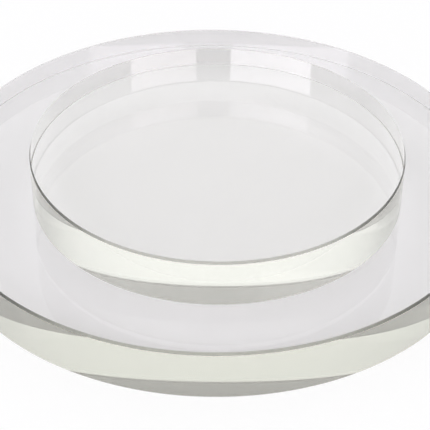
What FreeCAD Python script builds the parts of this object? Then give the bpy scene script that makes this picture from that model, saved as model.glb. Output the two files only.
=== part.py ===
import FreeCAD, Part
import os

# Two-tier round display base: two separate solid discs of polished clear glass.
# The smaller disc stands loose on the larger one, a little off centre towards the front.
# Millimetres, +Z up. The origin is the centre of the lower disc's underside, and the
# front is towards -Y. Both discs are sawn flat, ground round and polished all over. A narrow
# bevel, the arris, takes off each sharp edge: a very fine 45 degree one round the underside,
# and a larger and steeper one, deeper than it is wide, round the top rim.

os.makedirs("parts", exist_ok=True)

# Lower disc
lower_diameter = 150.0
lower_thickness = 14.3
lower_bottom_arris = 0.15
lower_top_arris_width = 0.28
lower_top_arris_depth = 0.87

# Upper disc
upper_diameter = 99.0
upper_thickness = 13.4
upper_bottom_arris = 0.15
upper_top_arris_width = 0.26
upper_top_arris_depth = 0.80

# Where the upper disc stands on the lower one
upper_offset_right = 0.8
upper_offset_front = 8.3
air_film = 0.05             # two hard flat faces lie on a thin film of air


def glass_disc(diameter, thickness, bottom_arris, top_arris_width, top_arris_depth):
    """A solid disc on the XY plane, turned about Z from half of its cross-section."""
    radius = diameter / 2
    outline = [
        (0, 0),
        (radius - bottom_arris, 0),
        (radius, bottom_arris),
        (radius, thickness - top_arris_depth),
        (radius - top_arris_width, thickness),
        (0, thickness),
    ]
    points = [FreeCAD.Vector(x, 0, z) for x, z in outline]
    section = Part.Face(Part.makePolygon(points + points[:1]))
    return section.revolve(FreeCAD.Vector(0, 0, 0), FreeCAD.Vector(0, 0, 1), 360)


# The lower disc stands on its own flat underside.
lower_disc = glass_disc(lower_diameter, lower_thickness, lower_bottom_arris,
                        lower_top_arris_width, lower_top_arris_depth)

# The upper disc stands on the lower disc's top face, with nothing between them but air.
upper_disc = glass_disc(upper_diameter, upper_thickness, upper_bottom_arris,
                        upper_top_arris_width, upper_top_arris_depth)
upper_seat_height = lower_thickness + air_film
upper_disc.translate(FreeCAD.Vector(upper_offset_right, -upper_offset_front, upper_seat_height))

pieces = {"lower_disc": lower_disc, "upper_disc": upper_disc}
for node, solid in pieces.items():
    print(node, "valid" if solid.isValid() else "NOT VALID", round(solid.Volume / 1000, 2), "cm3")
    solid.exportStep("parts/" + node + ".step")
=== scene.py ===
import math
import bpy
from mathutils import Euler, Matrix, Vector


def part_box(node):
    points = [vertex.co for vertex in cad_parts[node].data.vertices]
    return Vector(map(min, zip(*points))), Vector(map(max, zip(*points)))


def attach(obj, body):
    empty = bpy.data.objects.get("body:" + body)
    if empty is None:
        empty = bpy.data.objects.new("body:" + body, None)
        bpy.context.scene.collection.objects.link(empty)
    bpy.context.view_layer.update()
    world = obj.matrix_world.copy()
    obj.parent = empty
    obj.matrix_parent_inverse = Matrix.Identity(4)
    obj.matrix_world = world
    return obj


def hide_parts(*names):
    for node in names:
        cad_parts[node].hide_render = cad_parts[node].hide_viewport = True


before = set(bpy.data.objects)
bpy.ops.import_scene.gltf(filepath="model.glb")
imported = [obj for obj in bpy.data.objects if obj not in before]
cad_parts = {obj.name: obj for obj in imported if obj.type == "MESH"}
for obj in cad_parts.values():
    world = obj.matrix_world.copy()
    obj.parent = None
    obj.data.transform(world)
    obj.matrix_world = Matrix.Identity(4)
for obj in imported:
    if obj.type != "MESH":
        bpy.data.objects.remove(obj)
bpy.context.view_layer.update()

# ---------------------------------------------------------------------------
# Camera: a long lens in front of the display base, looking down at it from a little over a
# third of the way up. It is close enough for the lower disc's sides to leave the picture.
camera_distance = 0.4175
camera_rise = math.radians(36.942)
look_down = math.radians(37.159)
look_left = math.radians(-0.054)
head_tilt = math.radians(0.581)
lens_length = 124.93

camera_data = bpy.data.cameras.new("camera")
camera_data.lens = lens_length
camera_data.sensor_width = 36
camera_data.clip_start = 0.01
camera_data.clip_end = 20
camera = bpy.data.objects.new("camera", camera_data)
bpy.context.scene.collection.objects.link(camera)
bpy.context.scene.camera = camera
camera.location = (
    0,
    -camera_distance * math.cos(camera_rise),
    camera_distance * math.sin(camera_rise),
)
aim = Euler((math.pi / 2 - look_down, 0, look_left), "XYZ").to_matrix()
camera.rotation_euler = (aim @ Matrix.Rotation(head_tilt, 3, "Z")).to_euler()

# ---------------------------------------------------------------------------
# Lower disc: a thick round of clear float glass, cut from plate, ground round and polished all
# over. A steep bevel is ground round its top rim, and the sharp edge underneath is only just
# taken off. It stands on its own flat underside, with nothing holding it.
lower_top_bevel_width = 0.00028
lower_top_bevel_depth = 0.00087
lower_bottom_bevel = 0.00015
lower_bevel_roughness = 0.35
lower_bevel_grain = 2500
lower_haze_scale = 60
lower_haze_roughness = 0.02
lower_ripple_height = 0.0000006
glass_tint = (0.672, 0.675, 0.61, 1)
glass_tint_strength = 10
glass_refraction = 1.512
steps_round_the_disc = 720


def field(group, name, kind, side, value=None):
    """A named input or output on a node group."""
    socket = group.interface.new_socket(name=name, in_out=side, socket_type=kind)
    if value is not None:
        socket.default_value = value
    return socket


def sum_node(nodes, links, operation, *values):
    """A Math node fed with sockets or plain numbers."""
    node = nodes.new("ShaderNodeMath")
    node.operation = operation
    for socket, value in zip(node.inputs, values):
        if isinstance(value, (int, float)):
            socket.default_value = value
        else:
            links.new(value, socket)
    return node.outputs["Value"]


def eased(nodes, links, source, low, high, start, end):
    """A Map Range node that eases a value from start to end as its source goes low to high."""
    ramp = nodes.new("ShaderNodeMapRange")
    ramp.interpolation_type = "SMOOTHSTEP"
    ramp.inputs["From Min"].default_value = low
    ramp.inputs["From Max"].default_value = high
    ramp.inputs["To Min"].default_value = start
    if isinstance(end, (int, float)):
        ramp.inputs["To Max"].default_value = end
    else:
        links.new(end, ramp.inputs["To Max"])
    links.new(source, ramp.inputs["Value"])
    return ramp.outputs["Result"]


def cloud(nodes, links, place, scale, detail):
    """A Noise node in the disc's own space; scale is a socket with its grains in a metre."""
    noise = nodes.new("ShaderNodeTexNoise")
    noise.inputs["Detail"].default_value = detail
    links.new(place, noise.inputs["Vector"])
    links.new(scale, noise.inputs["Scale"])
    return noise.outputs["Fac"]


def ground_edge_group():
    """Where the glass is ground and not polished flat: the bevels, with their fine grain."""
    group = bpy.data.node_groups.new("ground_edge", "ShaderNodeTree")
    field(group, "Bevel Roughness", "NodeSocketFloat", "INPUT", 0.35)
    field(group, "Grain Scale", "NodeSocketFloat", "INPUT", 2500)
    field(group, "Grain Amount", "NodeSocketFloat", "INPUT", 0.2)
    field(group, "Roughness", "NodeSocketFloat", "OUTPUT")
    nodes, links = group.nodes, group.links
    given = nodes.new("NodeGroupInput")
    result = nodes.new("NodeGroupOutput")
    surface = nodes.new("ShaderNodeNewGeometry")
    split = nodes.new("ShaderNodeSeparateXYZ")
    links.new(surface.outputs["Normal"], split.inputs["Vector"])
    # Flat faces point straight up or down, and the wall straight out. Only a bevel leans, so
    # its upward share is more than 0 and less than 1: within half_range of the middle.
    middle = 0.5
    half_range = 0.46
    lean = sum_node(nodes, links, "ABSOLUTE", split.outputs["Z"])
    mask = sum_node(nodes, links, "COMPARE", lean, middle, half_range)
    place = nodes.new("ShaderNodeTexCoord")
    grain = cloud(nodes, links, place.outputs["Object"], given.outputs["Grain Scale"], 2)
    centred = sum_node(nodes, links, "SUBTRACT", grain, middle)
    swing = sum_node(nodes, links, "MULTIPLY", centred, given.outputs["Grain Amount"])
    uneven = sum_node(nodes, links, "MULTIPLY_ADD", swing, 2, 1)
    rough = sum_node(nodes, links, "MULTIPLY", given.outputs["Bevel Roughness"], uneven)
    masked = sum_node(nodes, links, "MULTIPLY", rough, mask)
    links.new(masked, result.inputs["Roughness"])
    return group


def polish_group():
    """What felt polishing leaves: patches of very faint haze, and a slow ripple."""
    group = bpy.data.node_groups.new("felt_polish", "ShaderNodeTree")
    field(group, "Haze Scale", "NodeSocketFloat", "INPUT", 60)
    field(group, "Haze Roughness", "NodeSocketFloat", "INPUT", 0.02)
    field(group, "Ripple Scale", "NodeSocketFloat", "INPUT", 120)
    field(group, "Haze", "NodeSocketFloat", "OUTPUT")
    field(group, "Ripple Height", "NodeSocketFloat", "OUTPUT")
    nodes, links = group.nodes, group.links
    given = nodes.new("NodeGroupInput")
    result = nodes.new("NodeGroupOutput")
    place = nodes.new("ShaderNodeTexCoord")
    patches = cloud(nodes, links, place.outputs["Object"], given.outputs["Haze Scale"], 3)
    patch_edge = 0.56
    patch_heart = 0.75
    haze = eased(nodes, links, patches, patch_edge, patch_heart, 0, given.outputs["Haze Roughness"])
    ripple = cloud(nodes, links, place.outputs["Object"], given.outputs["Ripple Scale"], 1)
    links.new(haze, result.inputs["Haze"])
    links.new(ripple, result.inputs["Ripple Height"])
    return group


ground_edge = ground_edge_group()
felt_polish = polish_group()


def polished_glass(name, bevel_roughness, grain_scale, haze_scale, haze_roughness, ripple_height):
    """Solid clear glass, polished on its flats and wall and fine ground on its bevels."""
    material = bpy.data.materials.new(name)
    material.use_nodes = True
    nodes, links = material.node_tree.nodes, material.node_tree.links
    shader = nodes["Principled BSDF"]
    shader.inputs["Base Color"].default_value = (1, 1, 1, 1)
    shader.inputs["Transmission Weight"].default_value = 1
    shader.inputs["Metallic"].default_value = 0
    shader.inputs["IOR"].default_value = glass_refraction
    edge = nodes.new("ShaderNodeGroup")
    edge.node_tree = ground_edge
    edge.inputs["Bevel Roughness"].default_value = bevel_roughness
    edge.inputs["Grain Scale"].default_value = grain_scale
    polish = nodes.new("ShaderNodeGroup")
    polish.node_tree = felt_polish
    polish.inputs["Haze Scale"].default_value = haze_scale
    polish.inputs["Haze Roughness"].default_value = haze_roughness
    rough = sum_node(nodes, links, "MAXIMUM", edge.outputs["Roughness"], polish.outputs["Haze"])
    links.new(rough, shader.inputs["Roughness"])
    bump = nodes.new("ShaderNodeBump")
    bump.inputs["Strength"].default_value = 1
    bump.inputs["Distance"].default_value = ripple_height
    links.new(polish.outputs["Ripple Height"], bump.inputs["Height"])
    links.new(bump.outputs["Normal"], shader.inputs["Normal"])
    body = nodes.new("ShaderNodeVolumeAbsorption")
    body.inputs["Color"].default_value = glass_tint
    body.inputs["Density"].default_value = glass_tint_strength
    links.new(body.outputs["Volume"], nodes["Material Output"].inputs["Volume"])
    return material


def turn_disc(name, low, high, bottom_bevel, top_bevel_width, top_bevel_depth):
    """A closed disc, turned from its cross-section, with crisp edges between its surfaces."""
    segments = steps_round_the_disc
    centre = (low + high) / 2
    radius = (high.x - low.x) / 2
    section = [
        (radius - bottom_bevel, low.z),
        (radius, low.z + bottom_bevel),
        (radius, high.z - top_bevel_depth),
        (radius - top_bevel_width, high.z),
    ]
    points = []
    for ring_radius, height in section:
        for step in range(segments):
            turn = 2 * math.pi * step / segments
            x = centre.x + ring_radius * math.cos(turn)
            y = centre.y + ring_radius * math.sin(turn)
            points.append((x, y, height))
    underside_centre = len(points)
    points.append((centre.x, centre.y, low.z))
    top_centre = len(points)
    points.append((centre.x, centre.y, high.z))
    faces = []
    top_ring = segments * (len(section) - 1)
    for step in range(segments):
        after = (step + 1) % segments
        faces.append((underside_centre, after, step))
        for ring in range(len(section) - 1):
            here = ring * segments
            above = here + segments
            faces.append((here + step, here + after, above + after, above + step))
        faces.append((top_ring + step, top_ring + after, top_centre))
    mesh = bpy.data.meshes.new(name)
    mesh.from_pydata(points, [], faces)
    mesh.update()
    mesh.shade_smooth()
    crisp = mesh.attributes.new("sharp_edge", "BOOLEAN", "EDGE")
    for edge in mesh.edges:
        first, second = edge.vertices
        both_on_rim = max(first, second) < underside_centre
        if both_on_rim and first // segments == second // segments:
            crisp.data[edge.index].value = True
    disc = bpy.data.objects.new(name, mesh)
    bpy.context.scene.collection.objects.link(disc)
    return disc


lower_low, lower_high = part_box("lower_disc")
lower_glass = polished_glass("lower_disc_glass", lower_bevel_roughness, lower_bevel_grain,
                             lower_haze_scale, lower_haze_roughness, lower_ripple_height)
lower_disc = turn_disc("lower_disc_glass", lower_low, lower_high, lower_bottom_bevel,
                       lower_top_bevel_width, lower_top_bevel_depth)
lower_disc.data.materials.append(lower_glass)
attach(lower_disc, "base")
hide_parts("lower_disc")

# ---------------------------------------------------------------------------
# Upper disc: a smaller and slightly thinner round of the same glass, ground and polished in the
# same way. It stands loose on the lower disc, a little off centre towards the front, and only
# the thin film of air between the two flat faces keeps them apart.
upper_top_bevel_width = 0.00026
upper_top_bevel_depth = 0.00080
upper_bottom_bevel = 0.00015
upper_bevel_roughness = 0.33
upper_bevel_grain = 2900
upper_haze_scale = 75
upper_haze_roughness = 0.015
upper_ripple_height = 0.0000004

upper_low, upper_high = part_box("upper_disc")
upper_glass = polished_glass("upper_disc_glass", upper_bevel_roughness, upper_bevel_grain,
                             upper_haze_scale, upper_haze_roughness, upper_ripple_height)
upper_disc = turn_disc("upper_disc_glass", upper_low, upper_high, upper_bottom_bevel,
                       upper_top_bevel_width, upper_top_bevel_depth)
upper_disc.data.materials.append(upper_glass)
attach(upper_disc, "tier")
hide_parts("upper_disc")

# ---------------------------------------------------------------------------
# Floor: a wide sheet of matt white paper, laid flat under the base. It runs far out on every
# side, and what is seen of it directly is almost burnt out to white.
floor_reach = 4
floor_gap = 0.00005         # the glass stands a hair above the paper
paper_white = (0.9, 0.885, 0.91, 1)
paper_glow = 1.02
paper_glow_share = 0.85


def matt_paper():
    """Plain matt white paper that looks nearly pure white where it is seen directly."""
    material = bpy.data.materials.new("matt_paper")
    material.use_nodes = True
    nodes, links = material.node_tree.nodes, material.node_tree.links
    shader = nodes["Principled BSDF"]
    shader.inputs["Base Color"].default_value = paper_white
    shader.inputs["Roughness"].default_value = 0.9
    shader.inputs["Specular IOR Level"].default_value = 0
    glow = nodes.new("ShaderNodeEmission")
    glow.inputs["Color"].default_value = (1, 1, 1, 1)
    glow.inputs["Strength"].default_value = paper_glow
    path = nodes.new("ShaderNodeLightPath")
    share = sum_node(nodes, links, "MULTIPLY", path.outputs["Is Camera Ray"], paper_glow_share)
    mix = nodes.new("ShaderNodeMixShader")
    links.new(share, mix.inputs["Fac"])
    links.new(shader.outputs["BSDF"], mix.inputs[1])
    links.new(glow.outputs["Emission"], mix.inputs[2])
    links.new(mix.outputs["Shader"], nodes["Material Output"].inputs["Surface"])
    return material


floor_corners = [
    (-floor_reach, -floor_reach, -floor_gap),
    (floor_reach, -floor_reach, -floor_gap),
    (floor_reach, floor_reach, -floor_gap),
    (-floor_reach, floor_reach, -floor_gap),
]
floor_mesh = bpy.data.meshes.new("floor")
floor_mesh.from_pydata(floor_corners, [], [(0, 1, 2, 3)])
floor = bpy.data.objects.new("floor", floor_mesh)
bpy.context.scene.collection.objects.link(floor)
floor.data.materials.append(matt_paper())

# ---------------------------------------------------------------------------
# Soft panels: two tall diffuser panels stand in front of the base, one to the left and one to
# the right. The gap between them is the dark stripe in the middle of each bright band.
panel_distance = 3
panel_height = 2.066
panel_rise = 25


def soft_panel(name, to_the_right, width, brightness, colour):
    """An even rectangular light that faces the base, turned to_the_right of it in degrees."""
    light = bpy.data.lights.new(name, "AREA")
    light.shape = "RECTANGLE"
    light.size = width
    light.size_y = panel_height
    light.energy = brightness * width * panel_height * math.pi
    light.color = colour
    lamp = bpy.data.objects.new(name, light)
    bpy.context.scene.collection.objects.link(lamp)
    turn = math.radians(to_the_right)
    tilt = math.radians(panel_rise)
    out = Vector((
        math.sin(turn) * math.cos(tilt),
        -math.cos(turn) * math.cos(tilt),
        math.sin(tilt),
    ))
    lamp.location = out * panel_distance
    lamp.rotation_euler = out.to_track_quat("Z", "Y").to_euler()


soft_panel("left_panel", -34.5, 2.505, 1.33, (1.0, 0.965, 1.05))
soft_panel("right_panel", 35.65, 2.001, 0.97, (1.03, 0.96, 1.03))

# ---------------------------------------------------------------------------
# Room: pale walls and a pale ceiling, brighter above, behind and at the sides, and dark low
# down in front. Each part fades in over a range of directions, from 0, level with the base or
# straight across it, to 1. Looked at directly, the room is a plain white backdrop.
room_tint = (0.98, 0.985, 0.988, 1)
ceiling_brightness = 0.745
back_wall_brightness = 0.25
back_top_brightness = 0.45
side_wall_brightness = 0.23
low_side_brightness = 0.4

room = bpy.data.worlds.new("room")
bpy.context.scene.world = room
room.use_nodes = True
nodes, links = room.node_tree.nodes, room.node_tree.links
direction = nodes.new("ShaderNodeTexCoord")
compass = nodes.new("ShaderNodeSeparateXYZ")
links.new(direction.outputs["Generated"], compass.inputs["Vector"])
sideways = sum_node(nodes, links, "ABSOLUTE", compass.outputs["X"])
backwards = compass.outputs["Y"]
upwards = compass.outputs["Z"]
ceiling = eased(nodes, links, upwards, 0.05, 0.6, 0, ceiling_brightness)
back_wall = eased(nodes, links, backwards, 0.3, 0.9, 0, back_wall_brightness)
back_glow = eased(nodes, links, backwards, 0.2, 0.8, 0, back_top_brightness)
back_fade = eased(nodes, links, upwards, 0, 0.5, 0, 1)
back_top = sum_node(nodes, links, "MULTIPLY", back_glow, back_fade)
side_glow = eased(nodes, links, sideways, 0.3, 0.9, 0, side_wall_brightness)
side_fade = eased(nodes, links, upwards, 0.05, 0.5, 0, 1)
side_walls = sum_node(nodes, links, "MULTIPLY", side_glow, side_fade)
far_side = sum_node(nodes, links, "ADD", back_wall, back_top)
low_glow = eased(nodes, links, sideways, 0.4, 0.95, 0, low_side_brightness)
low_fade = eased(nodes, links, upwards, 0.1, 0.55, 1, 0)
low_sides = sum_node(nodes, links, "MULTIPLY", low_glow, low_fade)
both_sides = sum_node(nodes, links, "ADD", side_walls, low_sides)
near_side = sum_node(nodes, links, "ADD", ceiling, both_sides)
all_round = sum_node(nodes, links, "ADD", far_side, near_side)
above_floor = sum_node(nodes, links, "GREATER_THAN", upwards, 0)
room_light = sum_node(nodes, links, "MULTIPLY", all_round, above_floor)
surroundings = nodes["Background"]
surroundings.inputs["Color"].default_value = room_tint
links.new(room_light, surroundings.inputs["Strength"])
backdrop = nodes.new("ShaderNodeBackground")
backdrop.inputs["Color"].default_value = (1, 1, 1, 1)
backdrop.inputs["Strength"].default_value = 1
seen_by = nodes.new("ShaderNodeLightPath")
choose = nodes.new("ShaderNodeMixShader")
links.new(seen_by.outputs["Is Camera Ray"], choose.inputs["Fac"])
links.new(surroundings.outputs["Background"], choose.inputs[1])
links.new(backdrop.outputs["Background"], choose.inputs[2])
links.new(choose.outputs["Shader"], nodes["World Output"].inputs["Surface"])

# ---------------------------------------------------------------------------
# Light inside the glass: it crosses a disc dozens of times before it comes out, so the paths
# are long and sharp reflections are never blurred.
glass_bounces = 256
scene = bpy.context.scene
scene.view_settings.view_transform = "Standard"
scene.cycles.max_bounces = glass_bounces
scene.cycles.transmission_bounces = glass_bounces
scene.cycles.glossy_bounces = glass_bounces
scene.cycles.diffuse_bounces = 6
scene.cycles.blur_glossy = 0
scene.cycles.use_denoising = True
